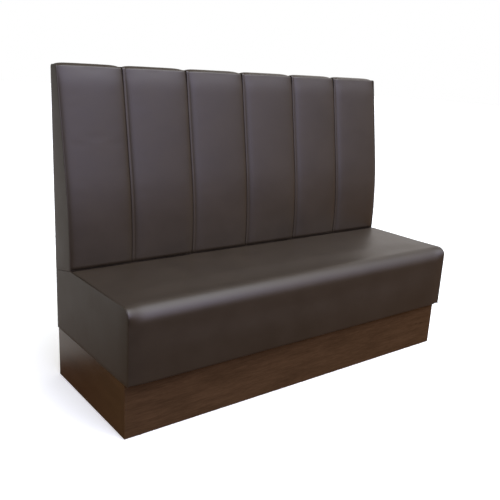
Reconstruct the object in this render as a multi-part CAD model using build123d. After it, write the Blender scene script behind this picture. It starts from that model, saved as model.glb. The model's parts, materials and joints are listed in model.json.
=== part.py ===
from build123d import *
from math import atan2, cos, degrees, radians, sin, tan
import os

os.makedirs("parts", exist_ok=True)

# Restaurant bench with a high channelled back. Width runs along X, the front
# faces -Y, the rear face and the floor are flat. Sizes are in millimetres.
# Outlines are drawn in (depth, height): depth counts forward from the rear face.

# Overall sizes
bench_width = 1530.0
bench_depth = 568.0
seat_height = 450.0
back_height = 1136.0
plinth_height = 195.0
plinth_setback = 32.0
plinth_side_setback = 4.0

# Shared clearances and the overrun of every cut
soft_gap = 0.3
joint_gap = 0.2
overrun = 5.0

# Boards, battens and sheets
board_thickness = 18.0
deck_thickness = 12.0
edge_band_thickness = 1.0
rib_count = 3
batten_side = 30.0
bottom_rail_width = 60.0
bottom_rail_thickness = 18.0
corner_block_leg = 45.0
vent_radius = 12.0
vents_per_bay = 2

# Covers and padding of the seat
side_cover_thickness = 3.0
side_cover_bevel = 1.2
seat_cover_thickness = 4.0
seat_foam_thickness = 72.0
front_pad_thickness = 10.0
seat_front_round = 42.0
seat_rear_round = 12.0
seat_crown = 7.0
seat_seam_sag = 3.0
front_crown = 3.0
hem_inner_round = 1.5
hem_clearance = 1.0

# Line of the backrest, taken along the seams between its channels
back_depth = 130.0
back_top_depth = 48.0
rake_corner_rise = 191.5
ease_length = 131.5
top_front_round = 15.0
top_rear_round = 10.0
tail_drop = 24.0
side_seam_front_drop = 4.0
side_seam_rear_drop = 32.0

# Layers of the backrest, from the seams inwards
channel_crown = 9.0
channel_shoulder_width = 20.0
channel_seam_depth = 8.0
tail_crown = 0.4
back_foam_thickness = 15.0
front_panel_thickness = 5.0
rear_panel_thickness = 4.0
rear_cover_thickness = 3.0
welt_width = 9.0
welt_shoulder_width = 2.7
welt_crown = 2.0
welt_edge_drop = 2.5

# Rails of the back frame
sole_thickness = 18.0
top_rail_height = 45.0
middle_rail_height = 70.0

# Coach screws that hold the back to the seat deck
coach_screw_count = 4
coach_screw_radius = 4.0
coach_screw_bite = 14.0
coach_head_width = 13.0
coach_head_height = 5.3
coach_hole_gap = 0.5
washer_radius = 8.0
washer_thickness = 1.6

# Pan-head wood screws that hold the seat box to the plinth
screw_count = 2
screw_radius = 2.5
screw_bite = 14.0
screw_head_radius = 5.0
screw_head_height = 2.2

# Round glides under the plinth boards
glide_radius = 8.0
glide_height = 3.0
glide_inset = 40.0

# How many flats follow each curve of a channel or welt
ease_steps = 3
corner_steps = 3

# Where the stations of the seat lie across its width, and how full it is there
seat_place_shares = (0.0, 0.03, 0.13, 0.5, 0.87, 0.97, 1.0)
seat_crown_shares = (0.0, 0.45, 0.85, 1.0, 0.85, 0.45, 0.0)

# Where the edges and seams of the channels lie across the covered width
channel_edge_shares = (0.0, 0.158, 0.3295, 0.5, 0.671, 0.832, 1.0)

# How high a strip's shoulder has risen at its inner end and a third of the way in
shoulder_rise_share = 0.72
shoulder_middle_share = 0.6

# Places worked out from the sizes above
rear_y = bench_depth / 2
cover_half = bench_width / 2 - side_cover_thickness
frame_half = cover_half - soft_gap
front_seam_depth = bench_depth - front_crown
plinth_half = bench_width / 2 - plinth_side_setback
plinth_front_depth = bench_depth - plinth_setback
plinth_inside_half = plinth_half - board_thickness
plinth_inside_depth = plinth_front_depth - board_thickness
frame_rear = rear_cover_thickness + soft_gap
deck_top = seat_height - seat_foam_thickness
deck_low = deck_top - deck_thickness
pad_outer_depth = front_seam_depth - seat_cover_thickness - soft_gap
pad_rear_depth = pad_outer_depth - front_pad_thickness
box_front_depth = pad_rear_depth - board_thickness
box_rear_depth = frame_rear + board_thickness
box_inside_half = frame_half - board_thickness
hem_top = plinth_height + seat_cover_thickness + soft_gap
hem_round = seat_cover_thickness + hem_inner_round
hem_end_depth = plinth_front_depth + hem_clearance
seat_rear_depth = back_depth + channel_crown + soft_gap
rib_pitch = 2 * box_inside_half / (rib_count + 1)
rib_places = [-box_inside_half + rib_pitch * (i + 1) for i in range(rib_count)]

rake_corner_height = seat_height + rake_corner_rise
rake = atan2(back_depth - back_top_depth, back_height - rake_corner_height)
rake_angle = degrees(rake)
ease_radius = ease_length / tan(rake / 2)
ease_start_height = rake_corner_height - ease_length
side_seam_front_height = seat_height - side_seam_front_drop
side_seam_rear_height = seat_height - side_seam_rear_drop

foam_outer_grow = -channel_seam_depth - soft_gap
foam_inner_grow = foam_outer_grow - back_foam_thickness
panel_grow = foam_inner_grow - soft_gap
core_grow = panel_grow - front_panel_thickness
core_rear = frame_rear + rear_panel_thickness
core_top = back_height + panel_grow
back_low = deck_top + soft_gap
tail_height = back_height - tail_drop
sole_top = deck_top + sole_thickness
sole_front = back_depth + core_grow


def at(depth, height):
    """A point of a side outline, as the Y and Z that it lies at."""
    return (rear_y - depth, height)


def line(start, end):
    """A straight edge between two (depth, height) points."""
    return Line(at(*start), at(*end))


def bow(start, middle, end):
    """A circular edge through three (depth, height) points."""
    return ThreePointArc(at(*start), at(*middle), at(*end))


def round_point(centre, radius, angle):
    """The (depth, height) point of a circle at an angle from the forward direction."""
    return (centre[0] + radius * cos(angle), centre[1] + radius * sin(angle))


def corner(centre, radius, start_angle, end_angle):
    """A circular edge about a centre, between two angles in degrees."""
    angles = [radians(a) for a in (start_angle, (start_angle + end_angle) / 2, end_angle)]
    return bow(*[round_point(centre, radius, a) for a in angles])


def face_of(edges):
    """The flat face inside a closed run of edges, still lying in the drawing plane."""
    return make_face(Curve() + edges)


def side_face(edges, x):
    """The same face, stood up across the bench at one X."""
    return Plane.YZ.offset(x) * face_of(edges)


def side_extrude(edges, x_low, x_high):
    """A side outline extruded from one X to another."""
    return extrude(side_face(edges, x_low), x_high - x_low)


def block(x_low, x_high, depth_low, depth_high, low, high):
    """A straight board between two X, two depths and two heights."""
    middle = Pos((x_low + x_high) / 2, rear_y - (depth_low + depth_high) / 2, (low + high) / 2)
    return middle * Box(x_high - x_low, depth_high - depth_low, high - low)


def upright_rod(x, depth, low, high, radius):
    """A vertical cylinder, for a shank or a hole."""
    return Pos(x, rear_y - depth, (low + high) / 2) * Cylinder(radius, high - low)


def mirrored(shape):
    """The left-hand piece of a right-hand one."""
    return mirror(shape, about=Plane.YZ)


def save(node, shape):
    """Write one node, a solid or a group of separate solids."""
    shape.label = node
    export_step(shape, f"parts/{node}.step")


def rake_start(grow):
    """Where the easing curve ends and the straight rake begins."""
    return round_point((back_depth - ease_radius, ease_start_height), ease_radius + grow, rake)


def rake_depth(grow, height):
    """Depth of the raked face at a height."""
    start = rake_start(grow)
    return start[0] - (height - start[1]) * tan(rake)


def lower_front_edges(grow, low):
    """The upright foot of the backrest face and the long curve that eases it back."""
    centre = (back_depth - ease_radius, ease_start_height)
    radius = ease_radius + grow
    foot = (back_depth + grow, low)
    bend = (back_depth + grow, ease_start_height)
    curve = bow(bend, round_point(centre, radius, rake / 2), rake_start(grow))
    return [line(foot, bend), curve]


def front_edges(grow, low, high):
    """The face of the backrest from a low height to a high one on the rake."""
    return lower_front_edges(grow, low) + [line(rake_start(grow), (rake_depth(grow, high), high))]


def front_corner_centre(grow, top, radius):
    """Centre of the round between the raked face and the level top."""
    start = rake_start(grow)
    rise = (top - radius - start[1] + radius * sin(rake)) / cos(rake)
    return (start[0] - radius * cos(rake) - rise * sin(rake), top - radius)


def over_top_edges(grow, low, round_radius):
    """The face of the backrest, its rounded front corner, and the start of the top."""
    top = back_height + grow
    centre = front_corner_centre(grow, top, round_radius)
    edges = lower_front_edges(grow, low)
    edges.append(line(rake_start(grow), round_point(centre, round_radius, rake)))
    edges.append(corner(centre, round_radius, rake_angle, 90))
    return edges, (centre[0], top)


def outer_back_edges(grow, low, tail):
    """Outer line of the padding, from its foot over the top and down the rear."""
    edges, crest = over_top_edges(grow, low, top_front_round + grow)
    rear_centre = (top_rear_round, crest[1] - top_rear_round)
    edges.append(line(crest, (top_rear_round, crest[1])))
    edges.append(corner(rear_centre, top_rear_round, 90, 180))
    edges.append(line((0, rear_centre[1]), (0, tail)))
    return edges


def flats_round(centre, radius, start_angle, end_angle, steps):
    """Corners of the flats that run round a curve and touch it from outside."""
    step = (end_angle - start_angle) / steps
    reach = radius / cos(radians(step / 2))
    angles = [start_angle + step * (i + 1 / 2) for i in range(steps)]
    return [(round_point(centre, reach, radians(angle)), angle) for angle in angles]


def strip_stations():
    """Stations of a channel along the seam line: point, outward angle, depth and fullness."""
    ease_centre = (back_depth - ease_radius, ease_start_height)
    front_centre = front_corner_centre(0, back_height, top_front_round)
    corners = flats_round(ease_centre, ease_radius, 0, rake_angle, ease_steps)
    corners += flats_round(front_centre, top_front_round, rake_angle, 90, corner_steps)
    stations = [((back_depth, back_low), 0, channel_seam_depth, 1)]
    stations += [(point, angle, channel_seam_depth, 1) for point, angle in corners]
    rear_depth = rear_cover_thickness - tail_crown
    rear_centre = (top_rear_round, back_height - top_rear_round)
    for step in range(corner_steps + 1):
        part = step / corner_steps
        angle = 90 + 90 * part
        point = round_point(rear_centre, top_rear_round - tail_crown * part, radians(angle))
        depth = channel_seam_depth + (rear_depth - channel_seam_depth) * part
        fullness = (1 - part) ** 3
        stations.append((point, angle, depth, fullness))
    stations.append(((tail_crown, tail_height), 180, rear_depth, 0))
    return stations


def strip_section(width, shoulder, depth, edge_rise, crown_rise):
    """Cross-section of a strip: flat base, upright sides, round shoulders, crowned middle."""
    half = width / 2
    bend = edge_rise + (crown_rise - edge_rise) * shoulder_rise_share
    middle = edge_rise + (bend - edge_rise) * shoulder_middle_share
    points = [(half, -depth), (half, edge_rise), (half - shoulder, bend)]
    left = [(-x, y) for x, y in reversed(points)]
    return [
        Line(points[0], points[1]),
        ThreePointArc(points[1], (half - shoulder / 3, middle), points[2]),
        ThreePointArc(points[2], (0, crown_rise), left[0]),
        ThreePointArc(left[0], (shoulder / 3 - half, middle), left[1]),
        Line(left[1], left[2]),
        Line(left[2], points[0]),
    ]


def crowned_strip(x_low, x_high, shoulder, edge_rise, crown_rise):
    """A stuffed strip, lofted up the backrest, over its top and down to its tail."""
    sections = []
    middle = (x_low + x_high) / 2
    for point, angle, depth, fullness in strip_stations():
        edge = edge_rise * fullness
        crown = tail_crown + (crown_rise - tail_crown) * fullness
        section = face_of(strip_section(x_high - x_low, shoulder, depth, edge, crown))
        outward = (0, -cos(radians(angle)), sin(radians(angle)))
        along = Vector(1, 0, 0).cross(Vector(outward))
        plane = Plane(origin=(middle, *at(*point)), x_dir=(1, 0, 0), z_dir=along)
        sections.append(plane * section)
    return loft(sections, ruled=True)


def seat_edges(crown_share, inset):
    """Line of the seat cover from the crease, over the top and front, to its hem."""
    front = bench_depth - front_crown * (1 - crown_share)
    rise = seat_crown * crown_share - seat_seam_sag * (1 - crown_share)
    rear_centre = (seat_rear_depth + seat_rear_round, seat_height - seat_rear_round)
    front_centre = (front - seat_front_round, seat_height - seat_front_round)
    hem_centre = (front - hem_round, plinth_height + hem_round)
    middle_depth = (rear_centre[0] + front_centre[0]) / 2
    top = seat_height - inset
    return [
        line((seat_rear_depth + inset, deck_top + soft_gap), (seat_rear_depth + inset, rear_centre[1])),
        corner(rear_centre, seat_rear_round - inset, 180, 90),
        bow((rear_centre[0], top), (middle_depth, top + rise), (front_centre[0], top)),
        corner(front_centre, seat_front_round - inset, 90, 0),
        line((front - inset, front_centre[1]), (front - inset, hem_centre[1])),
        corner(hem_centre, hem_round - inset, 0, -90),
        line((hem_centre[0], plinth_height + inset), (hem_end_depth, plinth_height + inset)),
    ]


def seat_cover_edges(crown_share):
    """Closed outline of the seat cover sheet."""
    inset = seat_cover_thickness
    foot = deck_top + soft_gap
    hem = plinth_height
    closing = [
        line((hem_end_depth, hem), (hem_end_depth, hem + inset)),
        line((seat_rear_depth, foot), (seat_rear_depth + inset, foot)),
    ]
    return seat_edges(crown_share, 0) + seat_edges(crown_share, inset) + closing


def seat_foam_edges(crown_share):
    """Closed outline of the seat foam, inside the cover and on the deck."""
    inset = seat_cover_thickness + soft_gap
    front = bench_depth - front_crown * (1 - crown_share) - inset
    rear = seat_rear_depth + inset
    path = seat_edges(crown_share, inset)[1:4]
    rear_line = line((rear, deck_top), (rear, seat_height - seat_rear_round))
    front_line = line((front, seat_height - seat_front_round), (front, deck_top))
    return [rear_line] + path + [front_line, line((front, deck_top), (rear, deck_top))]


def seat_loft(section_edges):
    """A seat layer lofted from one side cover to the other."""
    sections = []
    for place_share, crown_share in zip(seat_place_shares, seat_crown_shares):
        x = -frame_half + 2 * frame_half * place_share
        sections.append(side_face(section_edges(crown_share), x))
    return loft(sections, ruled=True)


def padded_panel(edges, x_low, x_high):
    """A flat padded side panel, drawn in round its outer rim."""
    panel = side_extrude(edges, x_low, x_high)
    rim = panel.faces().sort_by(Axis.X)[-1].edges()
    return chamfer(rim, side_cover_bevel)


def base_side_edges():
    """Side panel of the seat: it runs under the backrest, where its seam slopes down."""
    front_centre = (front_seam_depth - seat_front_round, seat_height - seat_front_round)
    seam_front = (back_depth, side_seam_front_height)
    crest = (front_centre[0], seat_height)
    sag = ((back_depth + crest[0]) / 2, (side_seam_front_height + seat_height) / 2 - seat_seam_sag)
    return [
        line((0, plinth_height), (0, side_seam_rear_height)),
        line((0, side_seam_rear_height), seam_front),
        bow(seam_front, sag, crest),
        corner(front_centre, seat_front_round, 90, 0),
        line((front_seam_depth, front_centre[1]), (front_seam_depth, plinth_height)),
        line((front_seam_depth, plinth_height), (0, plinth_height)),
    ]


def back_side_edges():
    """Side panel of the backrest, with the sloping seam at its foot."""
    foot = side_seam_front_height + soft_gap
    rear_foot = side_seam_rear_height + soft_gap
    return outer_back_edges(0, foot, rear_foot) + [line((0, rear_foot), (back_depth, foot))]


def core_edges(low, high):
    """Side outline of the back frame between two heights."""
    if low < ease_start_height:
        front = front_edges(core_grow, low, high)
        foot = (back_depth + core_grow, low)
    else:
        foot = (rake_depth(core_grow, low), low)
        front = [line(foot, (rake_depth(core_grow, high), high))]
    rear = [
        line((rake_depth(core_grow, high), high), (core_rear, high)),
        line((core_rear, high), (core_rear, low)),
        line((core_rear, low), foot),
    ]
    return front + rear


def screw_shape():
    """A pan-head wood screw whose head bears at the origin."""
    length = batten_side + screw_bite
    head = Pos(0, 0, -screw_head_height / 2) * Cylinder(screw_head_radius, screw_head_height)
    return head + Pos(0, 0, length / 2) * Cylinder(screw_radius, length)


def coach_screw_shape():
    """A hexagon-head coach screw whose head bears at the origin."""
    length = washer_thickness + deck_thickness + coach_screw_bite
    head = RegularPolygon(coach_head_width / 2, 6, major_radius=False)
    shank = Pos(0, 0, length / 2) * Cylinder(coach_screw_radius, length)
    return extrude(head, -coach_head_height) + shank


def copies(shape, places):
    """One group of equal solids, set down at (x, depth, height) places."""
    return Compound([Pos(x, rear_y - depth, height) * shape.solid() for x, depth, height in places])


def drilled(shape, radius, low, high, places):
    """A piece with an upright hole at each place, between two heights."""
    for x, depth, level in places:
        shape = shape - upright_rod(x, depth, low, high, radius)
    return shape


def glide_places():
    """Glides under the front board and the rear board."""
    edge_x = plinth_inside_half - glide_inset
    front = plinth_front_depth - board_thickness / 2
    return [(x, depth, 0) for depth in (front, board_thickness / 2) for x in (-edge_x, 0, edge_x)]


def screw_places():
    """Screws up through both battens, spread along the bench."""
    level = plinth_height - batten_side
    depths = (plinth_inside_depth - batten_side / 2, board_thickness + batten_side / 2)
    pitch = 2 * box_inside_half / screw_count
    rows = [-box_inside_half + pitch * (i + 1 / 2) for i in range(screw_count)]
    return [(x + pitch / 4, depth, level) for depth in depths for x in rows]


def coach_screw_places(level):
    """Coach screws of the back, one in each bay between the ribs."""
    pitch = 2 * box_inside_half / coach_screw_count
    rows = [-box_inside_half + pitch * (i + 1 / 2) for i in range(coach_screw_count)]
    return [(x, (core_rear + sole_front) / 2, level) for x in rows]


def make_plinth():
    """Laminated plinth: boards, edge bands, ribs, battens and corner blocks."""
    low = glide_height
    high = plinth_height
    screws = screw_places()
    hole = screw_radius + joint_gap
    band_x = plinth_half - edge_band_thickness
    front = block(-band_x, band_x, plinth_inside_depth, plinth_front_depth, low, high)
    save("plinth_front_board", front)
    band = block(band_x, plinth_half, plinth_inside_depth, plinth_front_depth, low, high)
    save("plinth_edge_band_right", band)
    save("plinth_edge_band_left", mirrored(band))
    end = block(plinth_inside_half, plinth_half, 0, plinth_inside_depth, low, high)
    save("plinth_end_board_right", end)
    save("plinth_end_board_left", mirrored(end))
    rear = block(-plinth_inside_half, plinth_inside_half, 0, board_thickness, low, high)
    save("plinth_rear_board", rear)
    batten_low = high - batten_side
    front_batten_rear = plinth_inside_depth - batten_side
    rear_batten_front = board_thickness + batten_side
    spans = {
        "plinth_batten_front": (front_batten_rear, plinth_inside_depth),
        "plinth_batten_rear": (board_thickness, rear_batten_front),
    }
    for node, (rear_side, front_side) in spans.items():
        batten = block(-plinth_inside_half, plinth_inside_half, rear_side, front_side, batten_low, high)
        save(node, drilled(batten, hole, batten_low - overrun, high + overrun, screws))
    for number, x in enumerate(rib_places, 1):
        x_low = x - board_thickness / 2
        x_high = x + board_thickness / 2
        rib = block(x_low, x_high, board_thickness, plinth_inside_depth, low, high)
        notch_low = batten_low - joint_gap
        front_notch = front_batten_rear - joint_gap
        rear_notch = rear_batten_front + joint_gap
        over = plinth_inside_depth + overrun
        rib = rib - block(x_low - overrun, x_high + overrun, front_notch, over, notch_low, high + overrun)
        rib = rib - block(x_low - overrun, x_high + overrun, 0, rear_notch, notch_low, high + overrun)
        save(f"plinth_rib_{number}", rib)
    save("plinth_corner_blocks", corner_blocks(low, batten_low - joint_gap))
    glide = Pos(0, 0, glide_height / 2) * Cylinder(glide_radius, glide_height)
    save("floor_glides", copies(glide, glide_places()))
    save("seat_box_screws", copies(screw_shape(), screws))


def corner_blocks(low, high):
    """Four triangular glue blocks that stiffen the corners of the plinth."""
    blocks = []
    for side in (-1, 1):
        for depth, inward in ((board_thickness, 1), (plinth_inside_depth, -1)):
            x = side * plinth_inside_half
            points = [
                (x, rear_y - depth),
                (x - side * corner_block_leg, rear_y - depth),
                (x, rear_y - depth - inward * corner_block_leg),
                (x, rear_y - depth),
            ]
            prism = extrude(Plane.XY.offset(low) * make_face(Polyline(*points)), high - low, dir=(0, 0, 1))
            blocks.append(prism.solid())
    return Compound(blocks)


def make_seat_box():
    """Plywood box of the seat: front, rear, ends, bottom rails, ribs and deck."""
    low = plinth_height
    high = deck_low
    front = block(-frame_half, frame_half, box_front_depth, pad_rear_depth, hem_top, high)
    save("seat_box_front_board", front)
    rear = block(-frame_half, frame_half, frame_rear, box_rear_depth, low, high)
    save("seat_box_rear_board", rear)
    end = block(box_inside_half, frame_half, box_rear_depth, box_front_depth, low, high)
    save("seat_box_end_board_right", end)
    save("seat_box_end_board_left", mirrored(end))
    rail_top = low + bottom_rail_thickness
    front_rail_rear = box_front_depth - bottom_rail_width
    rear_rail_front = box_rear_depth + bottom_rail_width
    spans = {
        "seat_box_rail_front": (front_rail_rear, box_front_depth),
        "seat_box_rail_rear": (box_rear_depth, rear_rail_front),
    }
    hole = screw_radius + joint_gap
    hole_top = low + screw_bite + joint_gap
    for node, (rear_side, front_side) in spans.items():
        rail = block(-box_inside_half, box_inside_half, rear_side, front_side, low, rail_top)
        save(node, drilled(rail, hole, low - overrun, hole_top, screw_places()))
    for number, x in enumerate(rib_places, 1):
        x_low = x - board_thickness / 2
        x_high = x + board_thickness / 2
        rib = block(x_low, x_high, box_rear_depth, box_front_depth, low, high)
        notch_top = rail_top + joint_gap
        front_notch = front_rail_rear - joint_gap
        rear_notch = rear_rail_front + joint_gap
        over = box_front_depth + overrun
        rib = rib - block(x_low - overrun, x_high + overrun, front_notch, over, low - overrun, notch_top)
        rib = rib - block(x_low - overrun, x_high + overrun, 0, rear_notch, low - overrun, notch_top)
        save(f"seat_box_rib_{number}", rib)
    save("seat_deck", make_deck())


def make_deck():
    """Deck under the foam, with breather holes in each bay and holes for the coach screws."""
    deck = block(-frame_half, frame_half, frame_rear, pad_rear_depth, deck_low, deck_top)
    vent_pitch = rib_pitch / vents_per_bay
    vent_depth = (seat_rear_depth + box_front_depth) / 2
    vent_count = vents_per_bay * (rib_count + 1)
    vents = [(-box_inside_half + vent_pitch * (i + 1 / 2), vent_depth, deck_low) for i in range(vent_count)]
    low = deck_low - overrun
    high = deck_top + overrun
    deck = drilled(deck, vent_radius, low, high, vents)
    return drilled(deck, coach_screw_radius + coach_hole_gap, low, high, coach_screw_places(deck_low))


def make_back_frame():
    """Frame of the back: sole, uprights, rails and the two sheet panels."""
    sole = block(-frame_half, frame_half, core_rear, sole_front, deck_top, sole_top)
    hole = coach_screw_radius + joint_gap
    hole_top = deck_top + coach_screw_bite + joint_gap
    places = coach_screw_places(deck_top)
    save("back_sole_rail", drilled(sole, hole, deck_top - overrun, hole_top, places))
    rail_low = core_top - top_rail_height
    save("back_top_rail", side_extrude(core_edges(rail_low, core_top), -frame_half, frame_half))
    middle_low = (sole_top + rail_low - middle_rail_height) / 2
    middle_top = middle_low + middle_rail_height
    rail_front = core_rear + board_thickness
    rail = block(-frame_half, frame_half, core_rear, rail_front, middle_low, middle_top)
    save("back_middle_rail", rail)
    end_x = frame_half - board_thickness / 2
    for number, x in enumerate([-end_x] + rib_places + [end_x], 1):
        x_low = x - board_thickness / 2
        x_high = x + board_thickness / 2
        upright = side_extrude(core_edges(sole_top, rail_low), x_low, x_high)
        notch_front = rail_front + joint_gap
        notch_low = middle_low - joint_gap
        notch_high = middle_top + joint_gap
        notch = block(x_low - overrun, x_high + overrun, 0, notch_front, notch_low, notch_high)
        save(f"back_upright_{number}", upright - notch)
    panel = front_edges(panel_grow, back_low, core_top) + front_edges(core_grow, back_low, core_top)
    panel_top = (rake_depth(panel_grow, core_top), core_top)
    panel.append(line(panel_top, (rake_depth(core_grow, core_top), core_top)))
    panel.append(line((back_depth + panel_grow, back_low), (back_depth + core_grow, back_low)))
    save("back_front_panel", side_extrude(panel, -frame_half, frame_half))
    rear = block(-frame_half, frame_half, frame_rear, core_rear, deck_top, core_top)
    save("back_rear_panel", rear)


def make_back_fixings():
    """Coach screws and washers that clamp the back frame to the deck."""
    head_level = deck_low - washer_thickness
    places = coach_screw_places(head_level)
    save("back_coach_screws", copies(coach_screw_shape(), places))
    disc = Pos(0, 0, washer_thickness / 2) * Cylinder(washer_radius, washer_thickness)
    hole = Cylinder(coach_screw_radius + coach_hole_gap, 2 * (washer_thickness + overrun))
    save("back_washers", copies(disc - hole, places))


def make_seat_padding():
    """Foam, front pad and covers of the seat."""
    save("seat_foam", seat_loft(seat_foam_edges))
    save("seat_cover", seat_loft(seat_cover_edges))
    pad_front = [
        Line((-frame_half, rear_y - pad_rear_depth), (-frame_half, rear_y - pad_outer_depth)),
        ThreePointArc(
            (-frame_half, rear_y - pad_outer_depth),
            (0, rear_y - pad_outer_depth - front_crown),
            (frame_half, rear_y - pad_outer_depth),
        ),
        Line((frame_half, rear_y - pad_outer_depth), (frame_half, rear_y - pad_rear_depth)),
        Line((frame_half, rear_y - pad_rear_depth), (-frame_half, rear_y - pad_rear_depth)),
    ]
    pad_low = hem_top + hem_inner_round
    pad = Plane.XY.offset(pad_low) * face_of(pad_front)
    save("seat_front_pad", extrude(pad, deck_top - soft_gap - pad_low, dir=(0, 0, 1)))
    panel = padded_panel(base_side_edges(), cover_half, bench_width / 2)
    save("seat_side_cover_right", panel)
    save("seat_side_cover_left", mirrored(panel))


def back_foam_edges():
    """Foam sheet on the front panel, carried over the top rail."""
    outer, crest = over_top_edges(foam_outer_grow, back_low, top_front_round + foam_outer_grow)
    bevel_low = back_height - top_rear_round - soft_gap
    inner_top = back_height + foam_inner_grow
    inner = front_edges(foam_inner_grow, back_low, inner_top)
    closing = [
        line(crest, (top_rear_round, crest[1])),
        line((top_rear_round, crest[1]), (frame_rear, bevel_low)),
        line((frame_rear, bevel_low), (frame_rear, inner_top)),
        line((frame_rear, inner_top), (rake_depth(foam_inner_grow, inner_top), inner_top)),
        line((back_depth + foam_inner_grow, back_low), (back_depth + foam_outer_grow, back_low)),
    ]
    return outer + inner + closing


def make_back_padding():
    """Foam sheet, channels, welts and covers of the back."""
    save("back_foam_sheet", side_extrude(back_foam_edges(), -frame_half, frame_half))
    seams = [-cover_half + 2 * cover_half * edge_share for edge_share in channel_edge_shares]
    last = len(seams) - 1
    welt_half = welt_width / 2
    for number in range(1, last + 1):
        left_gap = soft_gap if number == 1 else welt_half + soft_gap
        right_gap = soft_gap if number == last else welt_half + soft_gap
        x_low = seams[number - 1] + left_gap
        x_high = seams[number] - right_gap
        channel = crowned_strip(x_low, x_high, channel_shoulder_width, 0, channel_crown)
        save(f"back_channel_{number}", channel)
    for number, x in enumerate(seams[1:-1], 1):
        low = x - welt_half
        high = x + welt_half
        welt = crowned_strip(low, high, welt_shoulder_width, -welt_edge_drop, welt_crown)
        save(f"back_welt_{number}", welt)
    panel = padded_panel(back_side_edges(), cover_half, bench_width / 2)
    save("back_side_cover_right", panel)
    save("back_side_cover_left", mirrored(panel))
    rear_top = tail_height - soft_gap
    rear = block(-frame_half, frame_half, 0, rear_cover_thickness, plinth_height, rear_top)
    save("back_outside_cover", rear)


make_plinth()
make_seat_box()
make_back_frame()
make_back_fixings()
make_seat_padding()
make_back_padding()
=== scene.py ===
import json
import math
from collections import namedtuple

import bmesh
import bpy
from mathutils import Matrix, Vector


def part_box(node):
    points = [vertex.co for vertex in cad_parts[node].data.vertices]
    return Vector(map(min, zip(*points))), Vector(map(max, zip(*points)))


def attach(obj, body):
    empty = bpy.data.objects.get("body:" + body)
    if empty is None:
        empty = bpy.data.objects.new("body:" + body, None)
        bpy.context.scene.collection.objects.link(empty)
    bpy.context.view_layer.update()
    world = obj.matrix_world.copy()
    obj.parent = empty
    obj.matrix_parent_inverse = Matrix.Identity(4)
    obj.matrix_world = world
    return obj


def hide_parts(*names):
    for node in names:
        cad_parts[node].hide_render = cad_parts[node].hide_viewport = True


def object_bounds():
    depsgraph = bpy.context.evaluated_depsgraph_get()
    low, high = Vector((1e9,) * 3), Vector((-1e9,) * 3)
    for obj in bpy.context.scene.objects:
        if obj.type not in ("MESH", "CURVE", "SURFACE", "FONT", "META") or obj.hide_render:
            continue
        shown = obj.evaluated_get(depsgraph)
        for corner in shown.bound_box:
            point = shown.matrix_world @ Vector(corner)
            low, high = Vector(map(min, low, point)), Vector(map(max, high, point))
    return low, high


bl_info = {
    "name": "Channelled booth bench",
    "version": (1, 0, 0),
    "blender": (4, 5, 0),
    "location": "3D View > Sidebar > Booth bench",
    "description": "Upholstery, finishes and stage of a restaurant bench with a high channelled back",
    "category": "Object",
}

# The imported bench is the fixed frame. Sizes are in metres, and a side outline is drawn in
# depth, counted forward from the rear face, and height, counted up from the floor.
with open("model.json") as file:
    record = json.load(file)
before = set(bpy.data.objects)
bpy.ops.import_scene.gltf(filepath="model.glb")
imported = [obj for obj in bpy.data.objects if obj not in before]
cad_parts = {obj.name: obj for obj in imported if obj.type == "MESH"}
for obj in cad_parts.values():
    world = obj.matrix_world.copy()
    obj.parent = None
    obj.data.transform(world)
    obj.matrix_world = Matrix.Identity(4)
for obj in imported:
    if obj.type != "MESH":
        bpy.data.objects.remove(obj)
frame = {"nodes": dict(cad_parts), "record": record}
cad_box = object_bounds()
rear_face = cad_box[1].y

SOFT_GAP = 0.0003
cover_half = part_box("back_channel_6")[1].x + SOFT_GAP
frame_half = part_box("seat_cover")[1].x
outer_half = cad_box[1].x
plinth_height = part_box("plinth_front_board")[1].z
plinth_front_depth = rear_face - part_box("plinth_front_board")[0].y
deck_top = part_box("seat_deck")[1].z

# The outline of the back along its seams.
BACK_HEIGHT = 1.136
BACK_DEPTH = 0.130
BACK_TOP_DEPTH = 0.048
RAKE_CORNER_HEIGHT = 0.6415
EASE_LENGTH = 0.1315
RAKE = math.atan2(BACK_DEPTH - BACK_TOP_DEPTH, BACK_HEIGHT - RAKE_CORNER_HEIGHT)
TOP_FRONT_ROUND = 0.007
TOP_FRONT_CUT = TOP_FRONT_ROUND * math.tan((math.pi / 2 - RAKE) / 2)
TOP_REAR_ROUND = 0.010
TAIL_HEIGHT = 1.112

# The outline of the seat along its seams. Its front edge is rounded more tightly at the
# end seams than between them.
SEAT_HEIGHT = 0.450
SEAT_FRONT_DEPTH = 0.565
SEAT_FRONT_ROUND = 0.053
SEAT_CORNER_ROUND = 0.035
SEAT_REAR_ROUND = 0.007
HEM_ROUND = 0.0055
HEM_GAP = 0.001

# Where the back meets the seat, as distances along the line of the back from its foot.
FOOT = deck_top + SOFT_GAP
SEAT_LEVEL = SEAT_HEIGHT - FOOT
CREASE_DROP = 0.003
CREASE = SEAT_HEIGHT - CREASE_DROP - FOOT
BACK_FOOT_ROUND = 0.018
FOOT_LEAN = 0.0026
FOOT_LEAN_REACH = 0.09
FOOT_SHARE = 0.05

# The grids of the covers, and how the covers dip beside their seams.
SEAM_COLUMNS = (0.0012, 0.003, 0.0055, 0.009, 0.014, 0.021)
ROW_STEP = 0.011
SEAT_BEND_STEP = math.radians(6)
BACK_BEND_STEP = math.radians(10)
FINE_REACH = 0.035
SEAM_DIP = 0.0012
SEAM_DIP_WIDTH = 0.006

# The seat cover, which is held beside its end seams and drawn in at the front corners.
SEAT_COLUMN_STEP = 0.0125
SEAT_UNDERSIDE = 0.004
SEAT_HELD_WIDTH = 0.03
SEAT_EASE = 0.11
CORNER_WIDTH = 0.058
DRAWN_IN = 0.0042
DRAWN_IN_WIDTH = 0.065
DRAWN_IN_START = 0.9
DRAWN_IN_RATE = 1.3

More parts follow.
